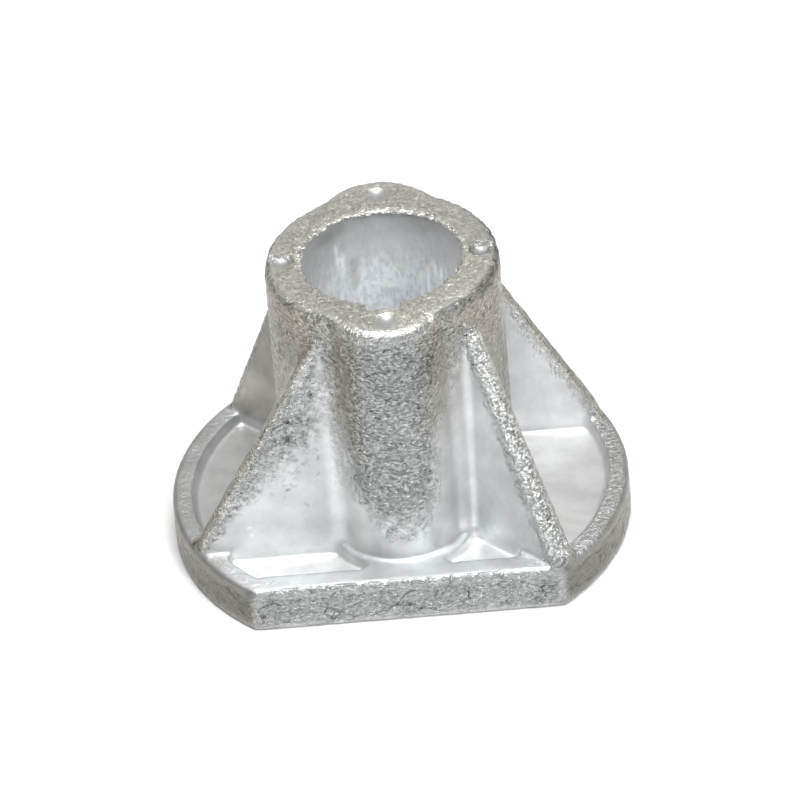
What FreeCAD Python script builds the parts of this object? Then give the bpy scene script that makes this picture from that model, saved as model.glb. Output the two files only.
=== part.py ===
"""Stanchion base: one aluminium casting with a flange, a socket tube, two columns and four ribs.

Millimetres, +Z up.  The origin is on the socket's axis, in the plane that the flange stands on.
The front flat of the flange faces -Y.  The casting has twofold symmetry about Z, apart from the
marks in its top face, and it has no mirror plane.
"""
import FreeCAD, Part
import os

NODE = "base_casting"

# Flange: a disc with a flat at the front and a flat at the back, and a raised rim round its pockets.
FLANGE_RADIUS = 35.5
FLAT_Y = 26.3
FLANGE_CORNER_RADIUS = 1.2
RIM_TOP = 7.5
RIM_INNER_RADIUS = 32.1
RIM_INNER_Y = 22.2
POCKET_FLOOR = 5.8
POCKET_CORNER_RADIUS = 1.2          # upright inside corners of the pockets
LAND_RADIUS = 11.1                  # round land at rim height about the foot of each column

# Socket tube with a half-round column on its front and on its back.
HEIGHT = 50.1
TUBE_RADIUS = 18.15
COLUMN_RADIUS = 9.8
COLUMN_Y = 11.15
SOCKET_RADIUS = 12.6

# Notch in the front of the socket's mouth.
NOTCH_LEFT = -3.1
NOTCH_RIGHT = 2.4
NOTCH_DEPTH = 0.8
NOTCH_HEIGHT = 3.0

# Round dimples in the top face, one on each column and one on each side.
DIMPLE_RADIUS = 1.7
DIMPLE_DEPTH = 0.8
DIMPLES = ((0.0, -16.5), (0.0, 16.8), (-15.3, 1.1), (15.3, 0.0))

# Ribs: (distance from the axis, height) at the top and at the foot of each sloping ridge.
SIDE_RIB_Y = 13.6
SIDE_RIB_TOP = (10.6, 46.9)
SIDE_RIB_FOOT = (32.6, 7.1)
CORNER_RIB_ANGLE = 135.0
CORNER_RIB_TOP = (17.8, 46.3)
CORNER_RIB_FOOT = (34.7, 7.5)
RIB_INSET = 0.6                     # how far inside the flange's outline the ribs end
RIB_CORE = 8.5                      # ribs start this far from the axis along their own length
SIDE_HALF_FOOT = 2.0                # half thickness at the flange
SIDE_HALF_CROWN = 1.25              # half thickness at the top of the tube
CORNER_HALF_FOOT = 2.4
CORNER_HALF_CROWN = 1.4

# Rounds and fillets.
CROWN_ROUND = 1.4                   # outer edge of the top face
MOUTH_CHAMFER = 0.3                 # mouth of the socket
FLANGE_ROUND = 1.0                  # top outer edge of the flange
UNDER_ROUND = 0.2                   # bottom outer edge of the flange
COLUMN_CREASE = 2.0                 # upright creases between the tube and its columns
RIDGE_ROUND = 0.9
POCKET_FILLET = 0.6                 # round the foot of each pocket wall
RIB_FILLET = 1.0                    # upright creases between the ribs and the tube

OVERLAP = 1.0                       # how far a solid runs into its neighbour before they are fused
TOLERANCE = 0.01                    # for telling where an edge or a face lies
LONG_EDGE = 10.0                    # every sloping edge longer than this belongs to a rib's ridge


def vec(x, y, z):
    return FreeCAD.Vector(x, y, z)


def prism(points, direction):
    """A solid made by sweeping the polygon through points along direction."""
    corners = [vec(*point) for point in points]
    outline = Part.makePolygon(corners + corners[:1])
    return Part.Face(outline).extrude(direction)


def flat_sided_disc(radius, half_width, bottom, top):
    """A disc cut by two flats at y = +-half_width."""
    disc = Part.makeCylinder(radius, top - bottom, vec(0, 0, bottom))
    slab = Part.makeBox(2 * radius, 2 * half_width, top - bottom, vec(-radius, -half_width, bottom))
    return disc.common(slab)


def edges_where(shape, test):
    return [edge for edge in shape.Edges if test(edge)]


def is_level(shape, height):
    """True when the whole edge or face lies at one height."""
    box = shape.BoundBox
    return abs(box.ZMin - height) < TOLERANCE and abs(box.ZMax - height) < TOLERANCE


def is_upright(edge):
    """True for a straight edge parallel to Z."""
    box = edge.BoundBox
    return box.XLength < TOLERANCE and box.YLength < TOLERANCE


def make_flange():
    disc = flat_sided_disc(FLANGE_RADIUS, FLAT_Y, 0, RIM_TOP)
    disc = disc.makeFillet(FLANGE_CORNER_RADIUS, edges_where(disc, is_upright))
    disc = disc.makeFillet(FLANGE_ROUND, edges_where(disc, lambda e: is_level(e, RIM_TOP)))
    return disc.makeFillet(UNDER_ROUND, edges_where(disc, lambda e: is_level(e, 0)))


def make_tube():
    """Tube and columns, solid: the socket is bored through everything at the end."""
    tube = Part.makeCylinder(TUBE_RADIUS, HEIGHT)
    for side in (-1, 1):
        tube = tube.fuse(Part.makeCylinder(COLUMN_RADIUS, HEIGHT, vec(0, side * COLUMN_Y, 0)))
    tube = tube.removeSplitter()
    tube = tube.makeFillet(COLUMN_CREASE, edges_where(tube, is_upright))
    crown = edges_where(tube, lambda e: is_level(e, HEIGHT))
    return tube.makeFillet(CROWN_ROUND, crown)


def make_rib(offset_y, top, foot, half_foot, half_crown):
    """A drafted rib along +X in the plane y = offset_y, with a rounded sloping ridge."""
    outline = [(RIB_CORE, OVERLAP), (foot[0], OVERLAP), foot, top, (RIB_CORE, top[1])]
    profile = [(x, offset_y - FLANGE_RADIUS, z) for x, z in outline]
    side_view = prism(profile, vec(0, 2 * FLANGE_RADIUS, 0))
    section = [(0, offset_y - half_foot, 0), (0, offset_y + half_foot, 0),
               (0, offset_y + half_crown, HEIGHT), (0, offset_y - half_crown, HEIGHT)]
    rib = side_view.common(prism(section, vec(2 * FLANGE_RADIUS, 0, 0)))

    def on_ridge(edge):
        box = edge.BoundBox
        return box.ZLength > LONG_EDGE and box.XLength > LONG_EDGE

    return rib.makeFillet(RIDGE_ROUND, edges_where(rib, on_ridge))


def turned(shape, degrees):
    copy = shape.copy()
    copy.rotate(vec(0, 0, 0), vec(0, 0, 1), degrees)
    return copy


def make_ribs():
    """Two ribs parallel to X and two on a diagonal, each pair half a turn apart.

    Their outer ends stop inside the round of the flange's top edge.
    """
    side = make_rib(SIDE_RIB_Y, SIDE_RIB_TOP, SIDE_RIB_FOOT, SIDE_HALF_FOOT, SIDE_HALF_CROWN)
    corner = make_rib(0, CORNER_RIB_TOP, CORNER_RIB_FOOT, CORNER_HALF_FOOT, CORNER_HALF_CROWN)
    corner = turned(corner, CORNER_RIB_ANGLE)
    limit = flat_sided_disc(FLANGE_RADIUS - RIB_INSET, FLAT_Y - RIB_INSET, 0, HEIGHT)
    return [turned(rib.common(limit), angle) for rib in (side, corner) for angle in (0, 180)]


def make_socket_tool():
    """What is cut away for the socket, the chamfer of its mouth and the notch."""
    bore = Part.makeCylinder(SOCKET_RADIUS, HEIGHT + 2 * OVERLAP, vec(0, 0, -OVERLAP))
    cone_height = MOUTH_CHAMFER + OVERLAP
    mouth = Part.makeCone(SOCKET_RADIUS, SOCKET_RADIUS + cone_height, cone_height,
                          vec(0, 0, HEIGHT - MOUTH_CHAMFER))
    reach = SOCKET_RADIUS + NOTCH_DEPTH
    notch = Part.makeBox(NOTCH_RIGHT - NOTCH_LEFT, reach, NOTCH_HEIGHT + OVERLAP,
                         vec(NOTCH_LEFT, -reach, HEIGHT - NOTCH_HEIGHT))
    return bore.fuse([mouth, notch])


def make_dimples():
    """Balls that leave a shallow round dimple of the given radius and depth."""
    ball = (DIMPLE_RADIUS ** 2 + DIMPLE_DEPTH ** 2) / (2 * DIMPLE_DEPTH)
    centre_z = HEIGHT - DIMPLE_DEPTH + ball
    return [Part.makeSphere(ball, vec(x, y, centre_z)) for x, y in DIMPLES]


def is_rib_crease(edge):
    """True for the long, nearly upright edges where the faces of a rib run into the tube."""
    return edge.Curve.TypeId == "Part::GeomEllipse" and edge.BoundBox.ZLength > HEIGHT / 2


def make_upper():
    """Tube, columns and ribs, with a fillet in each crease beside a rib."""
    upper = make_tube().fuse(make_ribs()).removeSplitter()
    return upper.makeFillet(RIB_FILLET, edges_where(upper, is_rib_crease))


def make_pockets(upper):
    """What is cut out inside the rim, round the tube, the ribs and the lands of the columns."""
    depth = RIM_TOP - POCKET_FLOOR
    inside = flat_sided_disc(RIM_INNER_RADIUS, RIM_INNER_Y, POCKET_FLOOR, RIM_TOP)
    lands = [Part.makeCylinder(LAND_RADIUS, depth, vec(0, side * COLUMN_Y, POCKET_FLOOR))
             for side in (-1, 1)]
    inside = inside.cut([upper] + lands)
    pockets = []
    for face in inside.Faces:
        if not is_level(face, RIM_TOP):
            continue
        plan = face.makeOffset2D(-POCKET_CORNER_RADIUS).makeOffset2D(POCKET_CORNER_RADIUS)
        pocket = plan.extrude(vec(0, 0, -depth))
        foot = edges_where(pocket, lambda e: is_level(e, POCKET_FLOOR))
        pockets.append(pocket.makeFillet(POCKET_FILLET, foot))
    return pockets


def make_casting():
    upper = make_upper()
    body = make_flange().fuse(upper).removeSplitter()
    body = body.cut(make_pockets(upper) + [make_socket_tool()] + make_dimples())
    return body.removeSplitter().Solids[0]


os.makedirs("parts", exist_ok=True)
casting = make_casting()
casting.exportStep(f"parts/{NODE}.step")
box = casting.optimalBoundingBox()
print(f"{NODE}: valid {casting.isValid()}, {casting.Volume / 1000:.2f} cm3, "
      f"{box.XLength:.2f} x {box.YLength:.2f} x {box.ZLength:.2f} mm")
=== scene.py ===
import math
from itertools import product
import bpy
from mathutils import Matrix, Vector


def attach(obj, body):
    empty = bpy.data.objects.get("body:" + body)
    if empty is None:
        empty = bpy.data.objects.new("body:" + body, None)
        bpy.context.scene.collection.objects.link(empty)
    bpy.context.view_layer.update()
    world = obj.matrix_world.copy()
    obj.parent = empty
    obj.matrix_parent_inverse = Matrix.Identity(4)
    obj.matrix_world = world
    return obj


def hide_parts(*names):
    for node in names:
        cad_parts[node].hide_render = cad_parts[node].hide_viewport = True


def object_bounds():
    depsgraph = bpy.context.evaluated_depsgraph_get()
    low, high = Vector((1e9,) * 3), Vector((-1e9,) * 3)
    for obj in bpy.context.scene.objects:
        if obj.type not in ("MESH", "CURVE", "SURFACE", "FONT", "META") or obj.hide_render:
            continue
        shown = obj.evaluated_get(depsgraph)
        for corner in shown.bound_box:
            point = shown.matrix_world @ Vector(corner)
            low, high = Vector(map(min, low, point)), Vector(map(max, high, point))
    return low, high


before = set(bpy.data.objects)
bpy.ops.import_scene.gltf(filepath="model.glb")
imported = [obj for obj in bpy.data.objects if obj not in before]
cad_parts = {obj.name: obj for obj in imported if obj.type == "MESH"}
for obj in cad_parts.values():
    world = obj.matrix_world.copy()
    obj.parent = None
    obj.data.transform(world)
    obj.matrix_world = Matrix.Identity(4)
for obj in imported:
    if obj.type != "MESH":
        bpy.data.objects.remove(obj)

# Stanchion base: one rough cast aluminium piece round the CAD solid, on a plain pale floor.
# Metres, +Z up, origin on the socket's axis in the plane of the underside.  The casting's lengths
# are in millimetres and are scaled by MM where they reach the scene; floor, lights and camera are
# in metres.
from types import SimpleNamespace

import bmesh
import bpy
import numpy as np
from mathutils import Matrix, Vector
from mathutils.bvhtree import BVHTree

MM = 0.001
cad_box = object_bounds()
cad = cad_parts["base_casting"]

# The casting's own sizes, as in the CAD model.
HEIGHT = 50.1
SOCKET_RADIUS = 12.6
TUBE_RADIUS = 18.15
COLUMN_RADIUS = 9.8
COLUMN_Y = 11.15
FLANGE_RADIUS = 35.5
FLAT_Y = 26.3
RIM_TOP = 7.5
DIMPLE_RADIUS = 1.7
DIMPLES = ((0.0, -16.5), (0.0, 16.8), (-15.3, 1.1), (15.3, 0.0))
SIDE_DIMPLES = DIMPLES[2:]
POCKET_RADIUS = 32.1
POCKET_Y = 22.2
SIDE_RIB_Y = 13.6
SIDE_RIB_TOP = (10.6, 46.9)         # distance from the axis, height
SIDE_RIB_FOOT = (32.6, 7.1)
CORNER_RIB_TOP = (17.8, 46.3)
CORNER_RIB_FOOT = (34.7, 7.5)
RIB_HALF = 2.6                      # a little over half a rib's thickness
DIAGONAL = math.sqrt(0.5)           # the corner ribs lie along x = -y

# The casting's mesh.
VOXEL = 0.53
ROUNDING = 2                        # rounds of smoothing that soften the resampled edges

# Where the skin is rough.  Each wave below is (size, height, seed).
RAGGED = ((2.2, 0.5, 11), (0.9, 0.5, 12))       # how ragged the edges of the rough places are
LARGE_BALL, SMALL_BALL = 16.0, 3.0              # radii that tell open faces from tight places
BAND_HEIGHTS = (8, 14, 20, 29, 38, 46)          # the rough band under the left wide rib's ridge
BAND_WIDTHS = (1.9, 2.6, 5.0, 8.5, 5.5, 3.5)
BACK_BAND = 1.7                                 # the same for the wide rib at the back
CORNER_BAND_LEFT, CORNER_BAND_RIGHT = 0.9, 3.0
RIM_GRAIN_LEFT, RIM_GRAIN_RIGHT = 0.07, 0.27    # how rough the rim is

# The relief of the skin.
SKIN_DEPTH = 0.12                   # mean depth of the rough skin under the CAD surface
SKIN_WAVES = ((4.0, 0.05, 21), (1.6, 0.05, 22))
SKIN_FACETS = (1.3, 0.045, 23)
FACET_WANDER = ((1.5, 0.4, 24),)    # bends the straight sides of the facets
SATIN_WAVES = ((5.0, 0.03, 25),)
SATIN_DEPTH = 0.03
CHEW_DEPTH = 0.16                   # deepest bites out of the top face's outer edge
CHEW_FACETS = (1.4, 1.0, 26)
CHEW_WAVES = ((1.1, 0.6, 27),)
GROOVE_DEPTH = 0.22                 # grooves at the two side dimples
GROOVE_HALF = 0.9
FLAKES = 1.2                        # flakes of skin per millimetre
CRACKED_WALL = 0.0625               # widens the cracked patches on the front wall

# The burr hangs furthest into the back of the mouth, and a painted white glint sits on it at the left:
# (degrees round the axis, spread in degrees).
BURR_REACH, BURR_LIMIT = 0.32, 1.25             # how far it leans into the mouth: mostly, and at most
BURR_WAVES = ((1.7, 0.18, 31), (0.8, 0.30, 32))
BURR_FACETS = (0.5, 0.26, 35)
HANG, HANG_REACH, HANG_WAVES = (92, 42), 0.60, ((1.3, 0.35, 33),)
LEFT_GLINT = (176, 6)

# Marks on the socket's wall: (degrees round the axis, top, bottom, half width, strength; negative is dark).
DRAGS = ((123, 46.0, 40.0, 0.45, 1.2), (119, 44.0, 38.5, 0.35, 1.0), (111, 42.0, 35.0, 0.70, -0.8),
         (51, 42.5, 37.0, 0.30, 1.7), (57, 40.0, 33.0, 0.30, 1.2), (45, 41.0, 35.5, 0.28, 1.4),
         (48, 39.0, 34.0, 0.25, 1.2), (62, 38.5, 33.0, 0.25, 1.1))
# Painted shade in patches just under the mouth: (degrees round the axis, height, half width in degrees,
# strength).
MOUTH_SHADE_PATCHES = ((128, 47.6, 13, 1.0), (52, 47.4, 15, 1.0), (100, 48.6, 16, 0.5))
MOUTH_SHADE_HALF_HEIGHT = 1.3
MOUTH_SHADE_WAVES = ((1.5, 0.6, 34),)

# Nicks in the front of the left wide rib: (x, z, half length, degrees from level, depth; negative is
# raised).  The first three cross in a star.
STAR_X, STAR_Z = -16.8, 27.6
NICKS = ((STAR_X, STAR_Z, 1.3, 50, 0.09), (STAR_X, STAR_Z, 1.2, -35, 0.09), (-16.5, 27.9, 0.9, 95, 0.06),
         (-13.2, 31.2, 0.5, 60, 0.14), (-12.6, 36.0, 0.5, -55, 0.12), (-12.2, 24.0, 0.7, 75, 0.08),
         (-12.4, 21.0, 0.6, 60, 0.07), (-17.3, 18.4, 0.5, 20, 0.12), (-14.6, 15.4, 0.7, -50, 0.05),
         (-23.7, 11.9, 0.5, 8, -0.07), (-23.5, 10.5, 0.3, 0, -0.07))
NICK_HALF_WIDTH = 0.20
# Small crescents scattered on the same face: the ranges of x, z, half length, degrees, depth and bend,
# and how far under the ridge they lie.
CRESCENT_SEED, CRESCENT_DRAWS = 41, 130
CRESCENT_RANGES = ((-22, -12.2), (17, 40), (0.35, 0.65), (0, 180), (0.02, 0.06), (-1.2, 1.2))
CRESCENT_BAND = (3.5, 9.0)

# Edges of the places that the painted light and shade tell apart.
FRONT_POCKETS_Y = -13               # the front pockets lie in front of this
LEFT_POCKET_X, LEFT_POCKET_Y = -14, -12
FRONT_RIM_Y = (-22.5, -21.5)
FLANGE_SIDE_REACH = 33.5
CROWN_MIDDLE = 7                    # half the width of the columns' part of the top face
CROWN_DEPTHS, CROWN_LEVELS = (2.6, 1.3), (0.88, 0.98)
CHEWED_DEPTHS, CHEWED_LEVELS = (2.4, 1.2), (0.90, 0.99)
COLUMN_SATIN_Z = (22, 36)           # the columns' flanks are cooler below this


# ---------------------------------------------------------------- noise and ramps

def gradient_noise(points, size, seed):
    """Smooth noise from about -1 to 1 whose features are about size mm wide."""
    rng = np.random.default_rng(seed)
    order = rng.permutation(256)
    slopes = rng.normal(size=(256, 3))
    slopes /= np.linalg.norm(slopes, axis=1, keepdims=True)
    scaled = points / size
    base = np.floor(scaled).astype(int)
    inner = scaled - base
    blend = inner ** 3 * (inner * (inner * 6 - 15) + 10)
    total = np.zeros(len(points))
    for corner in product((0, 1), repeat=3):
        cell = (base + corner) & 255
        pick = order[(order[(order[cell[:, 0]] + cell[:, 1]) & 255] + cell[:, 2]) & 255]
        lean = ((inner - corner) * slopes[pick]).sum(axis=1)
        total += lean * np.prod(np.where(corner, blend, 1 - blend), axis=1)
    return total * 1.6


def facet_noise(points, size, seed):
    """Cells about size mm wide, each a plane with its own tilt, from about -1 to 1."""
    rng = np.random.default_rng(seed)
    order = rng.permutation(256)
    places = rng.random((256, 3))
    tilts = rng.normal(size=(256, 3))
    scaled = points / size
    base = np.floor(scaled).astype(int)
    nearest = np.full(len(points), np.inf)
    height = np.zeros(len(points))
    for corner in product((-1, 0, 1), repeat=3):
        cell = base + corner
        key = cell & 255
        pick = order[(order[(order[key[:, 0]] + key[:, 1]) & 255] + key[:, 2]) & 255]
        offset = scaled - (cell + places[pick])
        distance = (offset ** 2).sum(axis=1)
        closer = distance < nearest
        nearest[closer] = distance[closer]
        height[closer] = (offset * tilts[pick]).sum(axis=1)[closer]
    return np.clip(height, -1, 1)


def ramp(values, low, high):
    """0 up to low, 1 from high on, and smooth between."""
    t = np.clip((values - low) / (high - low), 0, 1)
    return t * t * (3 - 2 * t)


def fade(values, low, high):
    """1 up to low, 0 from high on, and smooth between."""
    return 1 - ramp(values, low, high)


# ---------------------------------------------------------------- mesh

def read(mesh):
    co = np.empty(len(mesh.vertices) * 3)
    mesh.vertices.foreach_get("co", co)
    return co.reshape(-1, 3) / MM


def write(mesh, co):
    mesh.vertices.foreach_set("co", (co * MM).ravel())
    mesh.update()


def normals_of(mesh):
    out = np.empty(len(mesh.vertices) * 3)
    mesh.vertices.foreach_get("normal", out)
    return out.reshape(-1, 3)


def edges_of(mesh):
    out = np.empty(len(mesh.edges) * 2, dtype=np.int64)
    mesh.edges.foreach_get("vertices", out)
    return out.reshape(-1, 2)


def smooth(values, edges, rounds):
    """Averages each vertex's values with the mean of its neighbours', as many times as rounds says."""
    count = len(values)
    degree = np.bincount(edges.ravel(), minlength=count)[:, None]
    flat = values.ndim == 1
    values = values.reshape(count, -1)
    for _ in range(rounds):
        total = np.empty_like(values)
        for k in range(values.shape[1]):
            total[:, k] = (np.bincount(edges[:, 0], values[edges[:, 1], k], count)
                           + np.bincount(edges[:, 1], values[edges[:, 0], k], count))
        values = 0.5 * values + 0.5 * total / degree
    return values[:, 0] if flat else values


def tree_of(obj):
    mesh = obj.data
    mesh.calc_loop_triangles()
    points = [Vector(v.co) / MM for v in mesh.vertices]
    return BVHTree.FromPolygons(points, [tuple(t.vertices) for t in mesh.loop_triangles])


def remeshed(source, name):
    """A new object with the source's shape in even faces."""
    mesh = source.data.copy()
    mesh.materials.clear()
    obj = bpy.data.objects.new(name, mesh)
    bpy.context.scene.collection.objects.link(obj)
    step = obj.modifiers.new("even", "REMESH")
    step.mode = "VOXEL"
    step.voxel_size = VOXEL * MM
    step.adaptivity = 0
    depsgraph = bpy.context.evaluated_depsgraph_get()
    even = bpy.data.meshes.new_from_object(obj.evaluated_get(depsgraph))
    obj.modifiers.clear()
    obj.data = even
    even.name = name
    return obj


def refine(mesh, wanted):
    """Cuts the faces whose centres are wanted into four."""
    bm = bmesh.new()
    bm.from_mesh(mesh)
    centres = np.array([face.calc_center_median() for face in bm.faces]) / MM
    chosen = wanted(*centres.T)
    bm.edges.index_update()
    edges = {edge.index: edge for face, yes in zip(bm.faces, chosen) if yes for edge in face.edges}
    edges = [edges[index] for index in sorted(edges)]
    bmesh.ops.subdivide_edges(bm, edges=edges, cuts=1, use_grid_fill=True)
    bm.to_mesh(mesh)
    bm.free()
    mesh.update()


def near_mouth(x, y, z):
    return (z > HEIGHT - 1.3) & (np.hypot(x, y) < SOCKET_RADIUS + 1.3)


def near_lip(x, y, z):
    return (z > HEIGHT - 1.0) & (np.abs(np.hypot(x, y) - SOCKET_RADIUS) < 0.8)


def on_left_rib_front(y):
    """True on the front face of the left wide rib."""
    return (y < -SIDE_RIB_Y) & (y > -SIDE_RIB_Y - 2.5)


def near_nicks(x, y, z):
    return on_left_rib_front(y) & (x > -24.8) & (x < -11.4) & (z > 9.5) & (z < 37)


def round_again(co, normal):
    """Puts the vertices of the main round walls back on their true cylinders."""
    walls = [(0, 0, SOCKET_RADIUS), (0, 0, TUBE_RADIUS), (0, 0, FLANGE_RADIUS),
             (0, COLUMN_Y, COLUMN_RADIUS), (0, -COLUMN_Y, COLUMN_RADIUS)]
    for x, y, radius in walls:
        out = co[:, :2] - (x, y)
        reach = np.linalg.norm(out, axis=1)
        facing = np.abs((out * normal[:, :2]).sum(axis=1)) / np.maximum(reach, 1e-6)
        on = (np.abs(reach - radius) < 0.07) & (facing > 0.985)
        co[on, :2] = (x, y) + out[on] * (radius / reach[on])[:, None]
    return co


def resampled_casting(tree):
    """The casting as even faces that lie on the CAD surface, finer where small marks will be."""
    casting = remeshed(cad, "cast_base")
    mesh = casting.data
    write(mesh, np.array([tree.find_nearest(p)[0] for p in read(mesh).tolist()]))
    for wanted in (near_mouth, near_lip, near_nicks):
        refine(mesh, wanted)
    edges = edges_of(mesh)
    co = smooth(round_again(read(mesh), normals_of(mesh)), edges, ROUNDING)
    write(mesh, co)
    return casting, Surface(co, normals_of(mesh), edges)


# ---------------------------------------------------------------- places on the casting

def below_ridge(along, height, top, foot):
    """Distance from a rib's sloping ridge, measured in the rib's own plane; positive under the ridge."""
    run, fall = foot[0] - top[0], foot[1] - top[1]
    return (fall * (along - top[0]) - run * (height - top[1])) / math.hypot(run, fall)


class Surface:
    """The casting's vertices, with the masks that later functions share.

    A mask is from 0 to 1, but drag and shade go both ways and nick is a depth in millimetres.
    Its normals, reach, degrees and distances from the ridges are those of the smooth casting.  They
    stay when the vertices move, so that the rough skin doesn't break up the masks made from them.
    """

    def __init__(self, co, normal, edges):
        self.normal, self.edges = normal, edges
        self.nx, self.ny, self.nz = normal.T
        self.move_to(co)
        self.reach = np.hypot(self.x, self.y)
        self.degrees = np.degrees(np.arctan2(self.y, self.x))
        self.side_depth = below_ridge(np.abs(self.x), self.z, SIDE_RIB_TOP, SIDE_RIB_FOOT)
        self.along_corner = np.abs(self.x - self.y) * DIAGONAL
        self.off_corner = np.abs(self.x + self.y) * DIAGONAL
        self.corner_depth = below_ridge(self.along_corner, self.z, CORNER_RIB_TOP, CORNER_RIB_FOOT)

    def move_to(self, co):
        self.co = co
        self.x, self.y, self.z = co.T

    def smooth(self, values, rounds):
        return smooth(values, self.edges, rounds)

    def waves(self, table):
        """The sum of smooth noises, each given as (size, height, seed)."""
        return sum(height * gradient_noise(self.co, size, seed) for size, height, seed in table)

    def facets(self, size, height, seed, wander=0.0):
        return height * facet_noise(self.co + wander, size, seed)


def socket_wall(s):
    return ((s.reach < SOCKET_RADIUS + 0.35) & (s.z < HEIGHT - 0.25)).astype(float)


def top_face(s):
    return ramp(s.z, HEIGHT - 1.2, HEIGHT - 0.5) * ramp(s.nz, 0.5, 0.9)


def round_dimples(s, inner, outer):
    """1 within the inner distance of a dimple's centre, 0 from the outer one on."""
    nearby = np.zeros(len(s.z))
    for x, y in DIMPLES:
        nearby = np.maximum(nearby, fade(np.hypot(s.x - x, s.y - y), inner, outer))
    return nearby


def dimple_floors(s):
    near_top = ramp(s.z, HEIGHT - 1.4, HEIGHT - 1.1)
    return round_dimples(s, DIMPLE_RADIUS - 0.8, DIMPLE_RADIUS + 0.1) * near_top


def pocket_space(s):
    """The pockets inside the rim, walls and floors."""
    inside = ramp(RIM_TOP - s.z, 0.1, 0.5) * fade(s.reach, POCKET_RADIUS, POCKET_RADIUS + 0.5)
    return inside * fade(np.abs(s.y), POCKET_Y + 0.5, POCKET_Y + 0.9)


def side_rib_faces(s):
    """The flat faces of the ribs parallel to X."""
    near = (np.abs(np.abs(s.y) - SIDE_RIB_Y) < RIB_HALF) & (s.x * s.y > 0) & (np.abs(s.x) > 10.2)
    under = (s.side_depth > -0.6) & (s.z > RIM_TOP)
    return s.smooth((near & under) * ramp(np.abs(s.ny), 0.55, 0.85), 2)


def corner_rib_faces(s):
    """The flat faces of the diagonal ribs."""
    near = (s.off_corner < RIB_HALF + 0.2) & (s.along_corner > 18.6)
    under = (s.corner_depth > -0.6) & (s.z > RIM_TOP)
    facing = np.abs(s.nx + s.ny) * DIAGONAL
    return s.smooth((near & under) * ramp(facing, 0.55, 0.85), 2)


def rib_ridges(s):
    """The sloping ridges of all four ribs."""
    side = fade(np.abs(s.side_depth), 0.3, 1.3) * (np.abs(np.abs(s.y) - SIDE_RIB_Y) < RIB_HALF - 0.2)
    side = side * (s.x * s.y > 0) * (np.abs(s.x) > 11)
    corner = fade(np.abs(s.corner_depth), 0.3, 1.3) * (s.off_corner < RIB_HALF) * (s.along_corner > 18.4)
    return np.maximum(side, corner) * (s.z > RIM_TOP)


def rim_face(s):
    """Every level face at the rim's height."""
    return ramp(s.nz, 0.80, 0.95) * fade(np.abs(s.z - RIM_TOP), 0.2, 0.5)


def rim_edge(s):
    """The flange's rounded upper edge, away from the flats."""
    return (s.z > RIM_TOP - 1.1) * ramp(s.reach, 33.4, 34.0) * (np.abs(s.x) > 20)


def crown_edge(s, depths, levels):
    """The rounded outer edge of the top face, given how far under it and how level the edge may be."""
    edge = ramp(s.z, HEIGHT - depths[0], HEIGHT - depths[1]) * fade(s.nz, *levels)
    return edge * (s.reach > SOCKET_RADIUS + 1)


# ---------------------------------------------------------------- skin and wear

def room_for(tree, s, radius):
    """1 where a ball of this radius can touch the surface, less where its surroundings block it."""
    centres = s.co + s.normal * radius
    gaps = [tree.find_nearest(centre)[3] for centre in centres.tolist()]
    return s.smooth(np.clip(np.array(gaps) / radius, 0, 1), 12)


def open_skin(s, tree, ragged):
    """Rough skin where a large ball and a small one can touch; high up, a tighter place will do."""
    high = np.maximum(ramp(s.z, 30, 42), ramp(s.z, 10, 30) * ramp(np.abs(s.x), 10.5, 13.0))
    start = 0.88 - 0.35 * high
    open_wide = ramp(room_for(tree, s, LARGE_BALL) + ragged * 0.16, 0.56, 1.04)
    return open_wide * ramp(room_for(tree, s, SMALL_BALL), start, start + 0.11 + 0.20 * high)


def column_flanks(s, ragged):
    """The satin flanks of the columns, wider towards the foot."""
    start = 9.6 - 2.6 * fade(s.z, 10, 42)
    flanks = ramp(np.abs(s.x) - start + 1.2 * ragged, -1.6, 2.2) * (np.abs(s.y) > 10.5)
    return flanks * (np.abs(s.x) < 13.5) * fade(s.z, 38, 44) * (s.z > RIM_TOP)


def side_rib_skin(s, ragged):
    """Rough along the ridge; at the front the rough band is widest at half height."""
    band = np.where(s.y < 0, np.interp(s.z, BAND_HEIGHTS, BAND_WIDTHS), BACK_BAND)
    return fade(s.side_depth + ragged * np.minimum(2.0, 0.5 * band), 0.05 * band, 1.25 * band)


def corner_rib_skin(s, ragged):
    """Rough along the ridge, in a narrower band on the left rib."""
    band = np.where(s.x < 0, CORNER_BAND_LEFT, CORNER_BAND_RIGHT)
    return fade(s.corner_depth + ragged * 0.4 * band, 0.2, band)


def rough_skin(s, tree):
    """1 where the crinkled skin is whole, 0 where the metal is satin."""
    ragged = s.waves(RAGGED)
    skin = open_skin(s, tree, ragged)
    skin *= 1 - 0.85 * column_flanks(s, ragged)
    skin = skin * (1 - s.on_side) + side_rib_skin(s, ragged) * s.on_side
    skin = skin * (1 - s.on_corner) + corner_rib_skin(s, ragged) * s.on_corner
    skin = np.maximum(skin, s.ridge)
    skin *= 1 - s.rim * (0.85 - 0.45 * ramp(s.x, 5.0, 25.0))
    edge = rim_edge(s)
    skin *= 1 - 0.55 * edge * (1 - s.ridge)
    grainy = np.maximum(s.rim, edge) * (1 - s.ridge) * (1 - s.on_side) * (1 - s.on_corner)
    grainy *= ramp(np.abs(s.x), 16, 24)
    skin = skin * (1 - grainy) + np.where(s.x > 0, RIM_GRAIN_RIGHT, RIM_GRAIN_LEFT) * grainy
    skin = np.maximum(skin, s.top)
    return skin * (1 - s.bore) * (1 - s.dimple) * (1 - s.in_pocket)


def edge_wear(s):
    """Worn outer edges, painted paler partly as a painted sheen: high where the surface stands out from its
    own average.
    """
    bulge = ((s.co - s.smooth(s.co, 10)) * s.normal).sum(axis=1)
    return ramp(s.smooth(bulge, 2), 0.025, 0.09)


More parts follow.
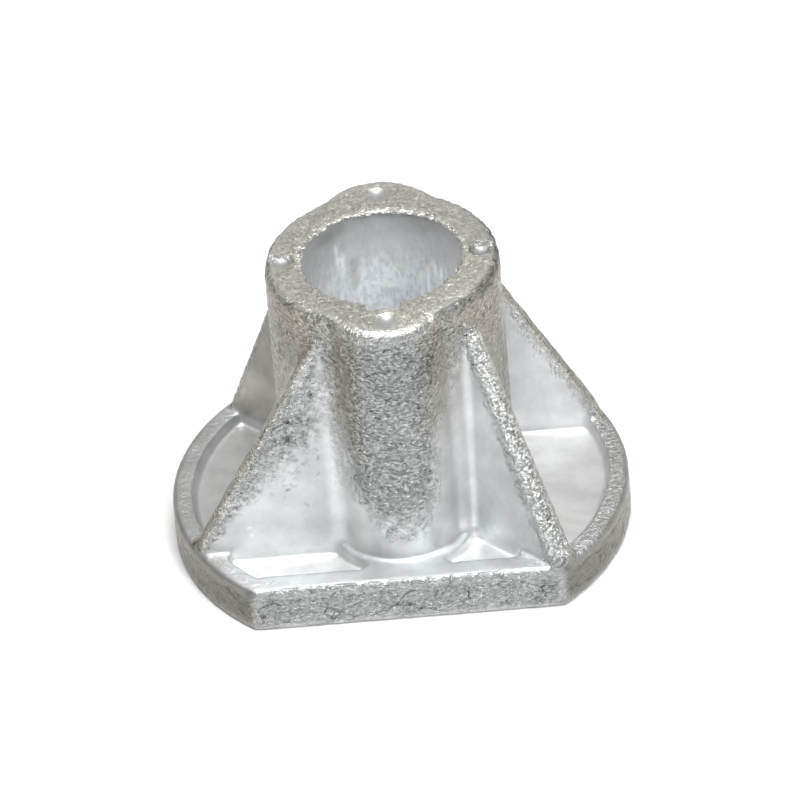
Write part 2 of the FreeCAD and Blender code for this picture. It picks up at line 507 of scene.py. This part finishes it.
def drag_marks(s):
    """Pale and dark marks that a tube has dragged down the wall of the socket."""
    drag = np.zeros(len(s.z))
    for degrees, start, end, width, strength in DRAGS:
        across = (s.degrees - degrees) * math.radians(SOCKET_RADIUS) / width
        drag += strength * np.exp(-across ** 2) * fade(s.z, start - 1, start) * ramp(s.z, end, end + 2)
    return drag * s.bore


def socket_shade(s):
    """Painted shade on the socket's wall: more on the left, less on the right, and in patches just under
    the mouth.
    """
    shade = ramp(-s.x, 1.0, 12.0) - 0.9 * ramp(s.x, 4.0, 12.0)
    for degrees, height, half, strength in MOUTH_SHADE_PATCHES:
        spot = ((s.degrees - degrees) / half) ** 2 + ((s.z - height) / MOUTH_SHADE_HALF_HEIGHT) ** 2
        shade += strength * np.exp(-spot) * (1 + s.waves(MOUTH_SHADE_WAVES))
    return np.clip(shade, -0.9, 1.5) * s.bore


def nick_depth(s, x, z, half, degrees, deep, bend=0.0):
    """Depth of one groove in the rib's face, straight or bent into a crescent."""
    along_x, along_z = math.cos(math.radians(degrees)), math.sin(math.radians(degrees))
    dx, dz = s.x - x, s.z - z
    along, across = dx * along_x + dz * along_z, dz * along_x - dx * along_z
    across = across - bend * along ** 2
    return deep * np.exp(-(across / NICK_HALF_WIDTH) ** 2) * fade(np.abs(along), half * 0.5, half)


def nicks(s):
    """The marks of NICKS, and crescents scattered where that rib's rough skin fades out."""
    marks = list(NICKS)
    rng = np.random.default_rng(CRESCENT_SEED)
    for _ in range(CRESCENT_DRAWS):
        x, z, *shape = [rng.uniform(low, high) for low, high in CRESCENT_RANGES]
        if CRESCENT_BAND[0] < below_ridge(-x, z, SIDE_RIB_TOP, SIDE_RIB_FOOT) < CRESCENT_BAND[1]:
            marks.append((x, z, *shape))
    total = sum(nick_depth(s, *mark) for mark in marks)
    return total * ramp(-s.ny, 0.7, 0.9) * on_left_rib_front(s.y)


def relief(s):
    """How far each vertex moves along its normal: inwards nearly everywhere, so that the size stays."""
    rough = s.waves(SKIN_WAVES) + s.facets(*SKIN_FACETS, wander=s.waves(FACET_WANDER)[:, None])
    moved = s.skin * (rough - SKIN_DEPTH)
    moved += (1 - s.skin) * (1 - s.bore) * (s.waves(SATIN_WAVES) - SATIN_DEPTH)
    chewed = crown_edge(s, CHEWED_DEPTHS, CHEWED_LEVELS)
    chewed *= 1 - round_dimples(s, DIMPLE_RADIUS, DIMPLE_RADIUS + 0.7)
    moved -= CHEW_DEPTH * chewed * np.clip(0.4 + s.facets(*CHEW_FACETS) + s.waves(CHEW_WAVES), 0, 1)
    for x, y in SIDE_DIMPLES:       # grooves carry these out to the edge and in to the socket
        groove = np.exp(-((s.y - y) / GROOVE_HALF) ** 2) * (s.x * x > 0) * (s.z > HEIGHT - 1.2)
        moved -= GROOVE_DEPTH * groove * np.maximum(s.top, s.dimple)
    return moved - s.nick


def add_burr(s):
    """Leans a ragged burr into the mouth of the socket, and returns where it is painted white as a
    highlight, with a painted glint at the left.
    """
    lip = ramp(s.z, HEIGHT - 1.0, HEIGHT - 0.3) * fade(np.abs(s.reach - SOCKET_RADIUS - 0.1), 0.15, 0.8)
    hang = np.exp(-((s.degrees - HANG[0]) / HANG[1]) ** 2)
    # A painted white glint at the left, with no change of shape.
    left_glint = np.exp(-((np.abs(s.degrees) - LEFT_GLINT[0]) / LEFT_GLINT[1]) ** 2)
    burr = BURR_REACH + s.waves(BURR_WAVES) + s.facets(*BURR_FACETS)
    burr += hang * (HANG_REACH + s.waves(HANG_WAVES))
    co = s.co.copy()
    co[:, :2] *= 1 - (lip * np.clip(burr, 0, BURR_LIMIT) / np.maximum(s.reach, 1))[:, None]
    s.move_to(co)
    return lip * np.clip(ramp(burr, 0.25, 0.6) * (0.35 + 0.65 * hang) + left_glint, 0, 1)


# ---------------------------------------------------------------- painted light and shade

def add_shading_masks(s):
    """The places that the painted light and shade tell apart.  Top and wear give way to the crown, the top
    face's edge.
    """
    s.front_right = (s.x > 0) & (s.y < 0)
    s.in_walls = (s.z < RIM_TOP - 0.05) & (s.reach < POCKET_RADIUS + 0.6)
    s.level = ramp(s.nz, 0.6, 0.9) * (s.z < RIM_TOP + 1)
    s.outer = s.level * ramp(np.abs(s.x), 15, 23) * fade(np.abs(s.y) - 0.55 * np.abs(s.x), 2.5, 5)
    s.flange_side = (s.reach > FLANGE_SIDE_REACH) * (s.z < RIM_TOP) * ramp(np.abs(s.nx), 0.3, 0.7)
    s.front_wall = ((s.y < -FLAT_Y + 0.7) & (s.z < RIM_TOP - 0.8)).astype(float)
    s.crown = crown_edge(s, CROWN_DEPTHS, CROWN_LEVELS) * ramp(np.abs(s.x), 6.0, 8.5)
    s.side_ridge = s.ridge * (s.on_corner == 0) * fade(np.abs(s.ny), 0.3, 0.7)
    s.on_crown = (s.z > HEIGHT - 2) & (np.abs(s.x) < CROWN_MIDDLE)
    s.column_foot = (np.abs(s.x) < COLUMN_RADIUS + 1.5) * (np.abs(s.y) > COLUMN_Y)
    s.column_foot = s.column_foot * fade(s.z, *COLUMN_SATIN_Z)
    s.top = s.top * (1 - 0.8 * s.crown)
    s.wear = s.wear * (1 - s.crown) * (1 - s.side_ridge)


def glints(s):
    """Glints on the corner ribs' ridges, on top and towards the nearer column; less at the back: a painted
    highlight in the colour, with a smoother finish and deeper crinkles.
    """
    lean = -(s.nx + s.ny) * DIAGONAL * np.where(s.front_right, 1, -1)
    gain = np.where(s.front_right, 1.0, 0.55)
    return s.ridge * (s.off_corner < RIB_HALF + 0.2) * ramp(lean, -0.4, 0.1) * gain


def front_lip(s):
    """The front edges of the top face and of the front flat: a painted highlight in the colour, a smoother
    finish and shallower crinkles.
    """
    bright = ramp(-s.ny, 0.15, 0.45) * ramp(s.nz, 0.4, 0.65) * fade(s.nz, 0.93, 1.0)
    on_flat = (s.y < -FLAT_Y + 1.3) & (s.z > RIM_TOP - 1.3) & (s.nz > 0.7)
    return bright * (s.on_crown | on_flat)


def warm_shade_mask(s):
    """Painted shade, darker and warmer, on whatever faces sideways, less at the columns' feet; the same
    dark warm tint on ridges and outer rim too.
    """
    warm = ramp(np.abs(s.nx), 0.25, 0.8) * (1 - s.in_walls)
    warm *= 1 - s.on_corner * s.front_right
    warm *= 1 - 0.75 * s.column_foot
    warm = np.maximum(warm, 0.60 * s.outer * s.rim)
    return np.maximum(warm, 0.8 * s.ridge) * (1 - s.glint)


def flange_painted_shading(s):
    """Painted shade and painted light on the flange, places painted darker or paler: (change of brightness,
    where).
    """
    floor = s.in_pocket * s.level
    front_floors = floor * (s.y < FRONT_POCKETS_Y)
    left_floor = floor * (s.x < LEFT_POCKET_X) * (s.y > LEFT_POCKET_Y)
    front_rim = s.rim * fade(s.y, *FRONT_RIM_Y)
    return ((-0.13, s.outer),
            (0.16, s.outer * s.rim),
            (-0.40, s.flange_side),
            (-0.06, s.front_wall),
            (0.12, s.in_walls * (1 - s.level)),
            (0.08, front_floors),
            (-0.05, front_floors * (s.x < -8)),
            (-0.12, left_floor),
            (0.19, front_rim * ramp(-s.x, 0, 10)))


def rib_painted_shading(s):
    """Painted shade and painted light on the ribs, places painted darker or paler: (change of brightness,
    where).
    """
    front = s.on_side * (s.y < 0)
    back_left = s.on_corner * (s.x < 0)
    return ((0.22, front * ramp(s.z, 28, 36)),
            (-0.13, front * fade(np.abs(s.x), 13, 20)),
            (0.24, s.on_side * (s.y > 0)),
            (-0.12, s.side_ridge),
            (0.12, s.on_corner * s.front_right),
            (-0.23, back_left),
            (-0.10, back_left * ramp(s.z, 15, 20)),
            (0.30, back_left * fade(s.z, 13, 18)))


def tube_painted_shading(s):
    """Painted shade and painted light on the tube and the columns, also darkening highlights on the crown:
    (change of brightness, where).
    """
    under_crown = ramp(s.z, 44.5, 46.5) * (s.z < HEIGHT - 0.6) * ramp(np.abs(s.x), 6, 9) * (s.y < 3)
    right_side = ramp(s.x, 13, 17) * (s.z > RIM_TOP + 2)
    column_top = ramp(s.z, 34, 40) * fade(s.z, 45, 48) * (s.y < -15) * fade(np.abs(s.x), 6, 9)
    left_flank = ramp(-s.x, 4, 6) * (s.y < 0) * (s.z > RIM_TOP) * s.column_foot * (1 - s.skin)
    return ((0.08, s.top),
            (0.15, s.top * s.front_right),
            (-0.18, s.crown),
            (-0.22, s.crown * ramp(s.x, 8, 14)),
            (0.14, under_crown),
            (-0.13, right_side),
            (-0.10, column_top),
            (0.22, left_flank))


def shade_under_lip(s):
    """Painted shade in a line just below the bright front edges."""
    on_flat = (s.y < -FLAT_Y + 1.3) & (s.z > RIM_TOP - 1.6)
    under = (s.on_crown | on_flat) * ramp(-s.ny, 0.3, 0.5)
    return under * ramp(s.nz, 0.0, 0.30) * fade(s.nz, 0.72, 0.86)


def layers(s):
    """The vertex layers that the material reads, by name."""
    changes = flange_painted_shading(s) + rib_painted_shading(s) + tube_painted_shading(s) + ((-0.45, shade_under_lip(s)),)
    # A brightness factor by place: painted light and painted shade.
    tone = 1 + sum(change * where for change, where in changes)
    calm = np.maximum(np.maximum(0.5 * s.front_wall, s.flange_side), 0.7 * s.on_side * (s.y > 0))
    return {
        "skin": s.skin,
        "bore": s.smooth(s.bore, 2),
        "top": s.top,
        "warm": s.smooth(warm_shade_mask(s), 3),
        "wear": s.wear,
        "drag": s.drag,
        "dimple": s.dimple,
        "shade": s.shade,
        "nick": s.nick,
        "pocket": s.smooth(s.in_pocket * ramp(s.nz, 0.5, 0.9), 2),
        "tone": s.smooth(tone, 5),
        "glint": s.smooth(s.glint, 1),
        "crown": s.smooth(s.crown, 2),
        "lip": s.smooth(front_lip(s), 1),
        "sill": fade(s.z, 0.25, 0.6),
        "fringe": s.fringe,
        "wall": s.smooth(s.front_wall, 2),
        "calm": s.smooth(calm, 2),
    }


def store(mesh, name, values):
    layer = mesh.attributes.new(name, "FLOAT", "POINT")
    layer.data.foreach_set("value", values.astype(np.float32))


def make_casting():
    """The finished casting, and the names of its vertex layers."""
    tree = tree_of(cad)
    casting, s = resampled_casting(tree)
    s.bore, s.top, s.dimple = socket_wall(s), top_face(s), dimple_floors(s)
    s.in_pocket, s.rim, s.ridge = pocket_space(s), rim_face(s), rib_ridges(s)
    s.on_side, s.on_corner = side_rib_faces(s), corner_rib_faces(s)
    s.skin, s.wear = rough_skin(s, tree), edge_wear(s)
    s.drag, s.shade, s.nick = drag_marks(s), socket_shade(s), nicks(s)
    s.move_to(s.co + s.normal * relief(s)[:, None])
    s.fringe = add_burr(s)
    s.move_to(np.clip(s.co, *(np.array(corner) / MM for corner in cad_box)))
    write(casting.data, s.co)
    add_shading_masks(s)
    s.glint = glints(s)
    found = layers(s)
    for name, values in found.items():
        store(casting.data, name, values)
    casting.data.shade_smooth()
    return casting, tuple(found)


# ---------------------------------------------------------------- material

class Nodes:
    """Short calls for building a node tree."""

    def __init__(self, tree):
        self.tree = tree

    def add(self, kind, **settings):
        node = self.tree.nodes.new(kind)
        for key, value in settings.items():
            setattr(node, key, value)
        return node

    def feed(self, socket, value):
        if isinstance(value, bpy.types.NodeSocket):
            self.tree.links.new(value, socket)
        else:
            socket.default_value = value

    def math(self, operation, *values, clamp=False):
        node = self.add("ShaderNodeMath", operation=operation, use_clamp=clamp)
        for socket, value in zip(node.inputs, values):
            self.feed(socket, value)
        return node.outputs[0]

    def vector(self, operation, *values):
        node = self.add("ShaderNodeVectorMath", operation=operation)
        sockets = [node.inputs[0], node.inputs["Scale"]] if operation == "SCALE" else node.inputs
        for socket, value in zip(sockets, values):
            self.feed(socket, value)
        return node.outputs["Value" if operation == "DOT_PRODUCT" else "Vector"]

    def stretch(self, source, scale):
        node = self.add("ShaderNodeMapping")
        self.feed(node.inputs["Vector"], source)
        node.inputs["Scale"].default_value = scale
        return node.outputs[0]

    def attribute(self, name):
        return self.add("ShaderNodeAttribute", attribute_name=name).outputs["Fac"]

    def noise(self, source, scale, detail=2.0, roughness=0.5, out="Fac"):
        node = self.add("ShaderNodeTexNoise")
        self.feed(node.inputs["Vector"], source)
        node.inputs["Scale"].default_value = scale
        node.inputs["Detail"].default_value = detail
        node.inputs["Roughness"].default_value = roughness
        return node.outputs[out]

    def cells(self, source, scale, feature="F1"):
        node = self.add("ShaderNodeTexVoronoi", feature=feature)
        self.feed(node.inputs["Vector"], source)
        node.inputs["Scale"].default_value = scale
        return node

    def lines(self, value, width):
        """1 along the curves where a noise passes its middle, 0 away from them."""
        away = self.math("ABSOLUTE", self.math("SUBTRACT", value, 0.5))
        return self.span(away, width, 0.0)

    def span(self, value, low, high, to_low=0.0, to_high=1.0):
        node = self.add("ShaderNodeMapRange", interpolation_type="SMOOTHSTEP")
        for socket, item in zip(node.inputs, (value, low, high, to_low, to_high)):
            self.feed(socket, item)
        return node.outputs[0]

    def blend(self, factor, first, second):
        node = self.add("ShaderNodeMix", data_type="RGBA")
        self.feed(node.inputs[0], factor)
        self.feed(node.inputs[6], first)
        self.feed(node.inputs[7], second)
        return node.outputs[2]

    def tinted(self, colour, amount):
        """The colour made darker or brighter by a number."""
        return self.vector("MULTIPLY", colour, self.vector("SCALE", (1.0, 1.0, 1.0), amount))

    def mix(self, factor, first, second):
        node = self.add("ShaderNodeMix", data_type="FLOAT")
        self.feed(node.inputs[0], factor)
        self.feed(node.inputs[2], first)
        self.feed(node.inputs[3], second)
        return node.outputs[0]

    def bump(self, height, distance, normal=None):
        node = self.add("ShaderNodeBump")
        node.inputs["Distance"].default_value = distance * MM
        self.feed(node.inputs["Height"], height)
        if normal is not None:
            self.feed(node.inputs["Normal"], normal)
        return node.outputs[0]


# Base colours.  The skin is greyer than the bare satin metal, and both are painted darker and warmer where
# they face sideways, as painted shade.
SKIN = (0.40, 0.42, 0.41, 1)
WARM_SHADED_SKIN = (0.385, 0.36, 0.315, 1)
TOP_SKIN = (0.58, 0.565, 0.51, 1)
SATIN = (0.652, 0.668, 0.680, 1)
WARM_SHADED_SATIN = (0.43, 0.42, 0.392, 1)
# Painted light: the pocket floors painted whiter.
LIT_POCKET_SATIN = (0.80, 0.80, 0.80, 1)
# Worn edges painted paler: partly wear, partly a painted sheen.
WORN_EDGE_SHEEN = (0.80, 0.80, 0.79, 1)
# Painted highlight on the front edges.
LIP_HIGHLIGHT = (0.86, 0.86, 0.85, 1)
DIMPLE_GREY = (0.47, 0.47, 0.475, 1)
SPECK_WHITE = (0.95, 0.95, 0.95, 1)
SILL_GREY = (0.72, 0.72, 0.70, 1)
# Painted light: the socket's wall paler lower down than at the top.
SOCKET_UPPER = (0.67, 0.67, 0.673, 1)
SOCKET_LOWER = (0.92, 0.945, 0.965, 1)
# Painted highlight on the burr's fringe.
FRINGE_WHITE = (1.0, 0.98, 0.93, 1)


def skin_pattern(n, mm, at):
    """Crinkles: flakes that each lean their own way, with thin raised ridges and thin sunk creases."""
    flat = n.stretch(mm, (1.0, 1.0, 1.7))
    wander = n.noise(flat, 0.8, 2.0, out="Color")
    bent = n.vector("MULTIPLY_ADD", wander, (1.2, 1.2, 1.2), flat)
    flakes = n.cells(bent, FLAKES)
    lean = n.vector("SUBTRACT", flakes.outputs["Color"], (0.5, 0.5, 0.5))
    arm = n.vector("SUBTRACT", bent, flakes.outputs["Position"])
    facet = n.vector("DOT_PRODUCT", lean, arm)
    strokes = n.noise(bent, 1.5, 3.0, 0.6)
    fine = n.noise(mm, 3.5, 3.0, 0.65)
    breaks = n.span(n.noise(mm, 0.9, 2.0), 0.42, 0.6)
    ridges = n.math("MULTIPLY", n.lines(n.noise(bent, 1.0, 2.0), 0.035), breaks)
    creases = n.lines(n.noise(n.vector("ADD", bent, (31.0, 17.0, 5.0)), 0.9, 2.0), 0.03)
    crinkle = n.math("MULTIPLY", facet, 1.1)
    for part, share in ((strokes, 1.1), (ridges, 0.16), (creases, -0.16), (fine, 0.25)):
        crinkle = n.math("MULTIPLY_ADD", part, share, crinkle)
    crinkle = n.math("MULTIPLY", crinkle, n.mix(at.calm, 1.0, 0.5))
    cracks = n.span(n.cells(bent, 0.19, "DISTANCE_TO_EDGE").outputs["Distance"], 0.035, 0.0)
    cracked = n.math("MULTIPLY_ADD", at.wall, CRACKED_WALL, n.noise(mm, 0.45, 2.0))
    cracks = n.math("MULTIPLY", cracks, n.span(cracked, 0.47, 0.58))
    crinkle = n.math("MULTIPLY_ADD", cracks, -0.45, crinkle)
    return SimpleNamespace(crinkle=crinkle, facet=facet, strokes=strokes, fine=fine,
                           ridges=ridges, creases=creases, cracks=cracks)


def skin_cover(n, mm, mottle, at):
    """How much the skin covers: whole within its mask, and broken into islands along its edge."""
    scatter = n.span(n.noise(mm, 1.1, 3.0, 0.65), 0.35, 0.65, -0.5, 0.5)
    edge = n.math("MULTIPLY", n.math("MULTIPLY", at.skin, n.math("SUBTRACT", 1.0, at.skin)), 2.6)
    island = n.math("MULTIPLY_ADD", scatter, edge, at.skin, clamp=True)
    return n.math("MULTIPLY", island, n.span(mottle, 0.25, 0.6, 0.75, 1.1))


def surface_normal(n, pattern, cover, satin, at):
    """Crinkles, shallower on the top face and along worn edges, over a finer satin grain."""
    height = n.math("MULTIPLY", pattern.crinkle, cover)
    for mask, share in ((at.top, 0.19), (at.wear, 0.75), (at.glint, 1.5), (at.lip, 0.55)):
        height = n.math("MULTIPLY", height, n.mix(mask, 1.0, share))
    return n.bump(satin, 0.02, n.bump(height, 0.55))


def skin_colour(n, pattern, at):
    """Grey skin, its flakes, ridges and creases painted lighter and darker as painted shading; painted
    highlights on glints and front lips; worn edges paler, partly as painted sheen.
    """
    # Painted shade: a darker, warmer colour where the surface faces sideways.
    colour = n.blend(at.top, n.blend(at.warm, SKIN, WARM_SHADED_SKIN), TOP_SKIN)
    # Painted shading: each flake lighter or darker across its tilt, mixed with random strokes.
    flecks_and_shading = n.math("MULTIPLY_ADD", pattern.facet, 0.30, pattern.strokes)
    flecks_and_shading = n.span(flecks_and_shading, 0.32, 0.66, 0.50, 1.28)
    # Painted highlight on the thin ridges, painted shade in the creases.
    flecks_and_shading = n.math("MULTIPLY_ADD", pattern.ridges, 0.75, flecks_and_shading)
    flecks_and_shading = n.math("MULTIPLY_ADD", pattern.creases, -0.30, flecks_and_shading)
    flecks_and_shading = n.mix(n.math("MULTIPLY", at.calm, 0.60), flecks_and_shading, 0.92)
    flecks_and_shading = n.math("MULTIPLY_ADD", pattern.cracks, -0.42, flecks_and_shading)
    colour = n.tinted(colour, n.mix(n.math("MULTIPLY", at.top, 0.50), flecks_and_shading, 1.0))
    # Painted highlight along the glints.
    colour = n.tinted(colour, n.mix(at.glint, 1.0, n.span(pattern.strokes, 0.40, 0.60, 1.2, 2.5)))
    # Painted highlight on the front lips.
    colour = n.blend(n.math("MULTIPLY", at.lip, 0.15), colour, LIP_HIGHLIGHT)
    # Worn edges paler: partly wear, partly a painted sheen.
    return n.blend(n.math("MULTIPLY", at.wear, 0.3), colour, WORN_EDGE_SHEEN)


def satin_colour(n, mm, at):
    """Bare satin metal: painted darker and warmer where it faces sideways as painted shade, and painted
    whiter on the pocket floors as painted light.
    """
    colour = n.blend(at.pocket, n.blend(at.warm, SATIN, WARM_SHADED_SATIN), LIT_POCKET_SATIN)
    cloud = n.noise(mm, 0.28, 3.0, 0.55)
    return n.tinted(colour, n.span(cloud, 0.34, 0.66, 0.94, 1.05))


def marked(n, colour, at):
    """Grey dimples, dark nicks, white specks where a nick is raised, and a pale foot."""
    colour = n.blend(n.math("MULTIPLY", at.dimple, 0.85), colour, DIMPLE_GREY)
    colour = n.tinted(colour, n.mix(n.math("MAXIMUM", at.nick, 0.0), 1.0, -4.0))
    colour = n.blend(n.math("MULTIPLY", at.nick, -12.0, clamp=True), colour, SPECK_WHITE)
    return n.blend(n.math("MULTIPLY", at.sill, 0.7), colour, SILL_GREY)


def socket_colour(n, mm, at):
    """The socket's wall: painted paler further down as painted light, with drag marks, a faint upright
    grain and painted shade, darker on the left and in patches under the mouth, lighter on the right.
    """
    tube = n.noise(n.stretch(mm, (1.6, 1.6, 0.60)), 1.0, 3.0, 0.6)
    low = n.noise(n.stretch(mm, (1.0, 1.0, 0.8)), 1.1, 3.0, 0.6)
    down = n.span(n.vector("DOT_PRODUCT", mm, (0.0, 0.0, -1.0)), 4.0 - HEIGHT, -36.0)
    colour = n.blend(down, SOCKET_UPPER, SOCKET_LOWER)
    streak = n.math("MULTIPLY", at.drag, n.span(tube, 0.35, 0.6, 0.4, 1.1))
    colour = n.tinted(colour, n.math("MULTIPLY_ADD", streak, 0.42, 1.0))
    grain = n.span(n.math("ADD", tube, low), 0.80, 1.20, -0.12, 0.13)
    grain = n.math("MULTIPLY", grain, n.mix(down, 0.25, 1.0))
    colour = n.tinted(colour, n.math("ADD", grain, 1.0))
    # Painted shade: darker on the left and in patches under the mouth, lighter on the right.
    return n.tinted(colour, n.math("MULTIPLY_ADD", at.shade, -0.30, 1.0))


def roughness(n, satin, at):
    """Satin metal is duller than the skin, and the socket's wall is dull all over."""
    rough = n.mix(at.skin, n.span(satin, 0.3, 0.7, 0.44, 0.52), 0.24)
    for mask, value in ((at.glint, 0.22), (at.lip, 0.17), (at.crown, 0.42), (at.dimple, 0.40),
                        (at.fringe, 0.30), (at.bore, 0.5)):
        rough = n.mix(mask, rough, value)
    return rough


def cast_aluminium(names):
    material = bpy.data.materials.new("cast_aluminium")
    material.use_nodes = True
    n = Nodes(material.node_tree)
    shader = material.node_tree.nodes["Principled BSDF"]
    at = SimpleNamespace(**{name: n.attribute(name) for name in names})
    mm = n.vector("SCALE", n.add("ShaderNodeTexCoord").outputs["Object"], 1 / MM)
    satin = n.noise(mm, 2.5, 3.0)
    mottle = n.noise(mm, 0.30, 3.0, 0.6)
    pattern = skin_pattern(n, mm, at)
    cover = skin_cover(n, mm, mottle, at)

    whole = n.math("MULTIPLY", cover, 1.0, clamp=True)
    colour = n.blend(whole, satin_colour(n, mm, at), skin_colour(n, pattern, at))
    # Painted light and painted shade, by place.
    colour = n.tinted(marked(n, colour, at), at.tone)
    colour = n.blend(at.bore, colour, socket_colour(n, mm, at))
    colour = n.tinted(colour, n.span(mottle, 0.35, 0.65, 0.92, 1.0))
    # Painted highlight: the burr's fringe painted white.
    bright = n.math("MULTIPLY", at.fringe, n.span(pattern.fine, 0.38, 0.58))
    colour = n.blend(bright, colour, FRINGE_WHITE)

    n.feed(shader.inputs["Base Color"], colour)
    n.feed(shader.inputs["Metallic"], n.mix(at.bore, 0.80, 0.30))
    n.feed(shader.inputs["Roughness"], roughness(n, satin, at))
    n.feed(shader.inputs["Normal"], surface_normal(n, pattern, cover, satin, at))
    return material


# ---------------------------------------------------------------- floor, light and camera

FLOOR_RADIUS = 3.0
FLOOR_DROP = 0.00002                # the floor lies just under the casting
FLOOR_GREY = (0.93, 0.93, 0.93, 1)

# The surroundings, level with the casting and above it.
BACK = (0.50, 0.50, 0.50, 1)
FRONT = (0.11, 0.125, 0.13, 1)
RIGHT = (0.36, 0.345, 0.32, 1)
LEFT = (0.22, 0.205, 0.185, 1)
ABOVE = (0.50, 0.50, 0.49, 1)

# The camera, fitted to the photo's outlines.
AZIMUTH, ELEVATION, ROLL = math.radians(0.272), math.radians(36.05), math.radians(-4.833)
CAMERA_DISTANCE = 2.0
CAMERA_SHIFT = (-0.56 * MM, 18.288 * MM)    # to the right of the origin and up from it, in the picture
LENS, SENSOR_WIDTH = 579.6, 36


def make_floor():
    bpy.ops.mesh.primitive_circle_add(vertices=96, radius=FLOOR_RADIUS, fill_type="NGON",
                                      location=(0, 0, -FLOOR_DROP))
    floor = bpy.context.object
    floor.name = "floor"
    material = bpy.data.materials.new("floor")
    material.use_nodes = True
    shader = material.node_tree.nodes["Principled BSDF"]
    shader.inputs["Base Color"].default_value = FLOOR_GREY
    shader.inputs["Roughness"].default_value = 0.8
    floor.data.materials.append(material)


def make_light(name, place, width, height, power):
    """A rectangular light that points at the origin."""
    data = bpy.data.lights.new(name, "AREA")
    data.shape = "RECTANGLE"
    data.size, data.size_y = width, height
    data.energy = power
    light = bpy.data.objects.new(name, data)
    bpy.context.scene.collection.objects.link(light)
    light.location = place
    light.rotation_mode = "QUATERNION"
    light.rotation_quaternion = (-Vector(place)).to_track_quat("-Z", "Y")


def make_world():
    """Grey surroundings, darker in front and warmer at the sides."""
    world = bpy.data.worlds.new("studio")
    bpy.context.scene.world = world
    world.use_nodes = True
    n = Nodes(world.node_tree)
    split = n.add("ShaderNodeSeparateXYZ")
    n.feed(split.inputs[0], n.add("ShaderNodeTexCoord").outputs["Generated"])
    x, y, z = split.outputs
    colour = n.blend(n.span(y, 0.0, -0.8), BACK, FRONT)
    colour = n.blend(n.span(x, 0.3, 0.9), colour, RIGHT)
    colour = n.blend(n.span(x, -0.3, -0.9), colour, LEFT)
    colour = n.blend(n.span(z, 0.25, 0.80), colour, ABOVE)
    n.feed(world.node_tree.nodes["Background"].inputs["Color"], colour)


def make_camera():
    back = Vector((math.sin(AZIMUTH) * math.cos(ELEVATION),
                   -math.cos(AZIMUTH) * math.cos(ELEVATION), math.sin(ELEVATION)))
    level = Vector((math.cos(AZIMUTH), math.sin(AZIMUTH), 0))
    upright = back.cross(level)
    right = level * math.cos(ROLL) + upright * math.sin(ROLL)
    up = -level * math.sin(ROLL) + upright * math.cos(ROLL)
    data = bpy.data.cameras.new("camera")
    data.lens, data.sensor_width = LENS, SENSOR_WIDTH
    data.clip_start, data.clip_end = 0.1, 20
    camera = bpy.data.objects.new("camera", data)
    bpy.context.scene.collection.objects.link(camera)
    camera.location = right * CAMERA_SHIFT[0] + up * CAMERA_SHIFT[1] + back * CAMERA_DISTANCE
    camera.rotation_mode = "QUATERNION"
    camera.rotation_quaternion = Matrix((right, up, back)).transposed().to_quaternion()
    bpy.context.scene.camera = camera


casting, layer_names = make_casting()
casting.data.materials.clear()
casting.data.materials.append(cast_aluminium(layer_names))
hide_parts("base_casting")
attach(casting, "root")

make_floor()
make_light("overhead", (0, -0.12, 0.9), width=0.40, height=0.65, power=6.5)
make_light("front", (0.45, -0.75, 0.85), width=0.5, height=0.5, power=8.0)
make_world()
make_camera()
bpy.context.scene.view_settings.view_transform = "Standard"
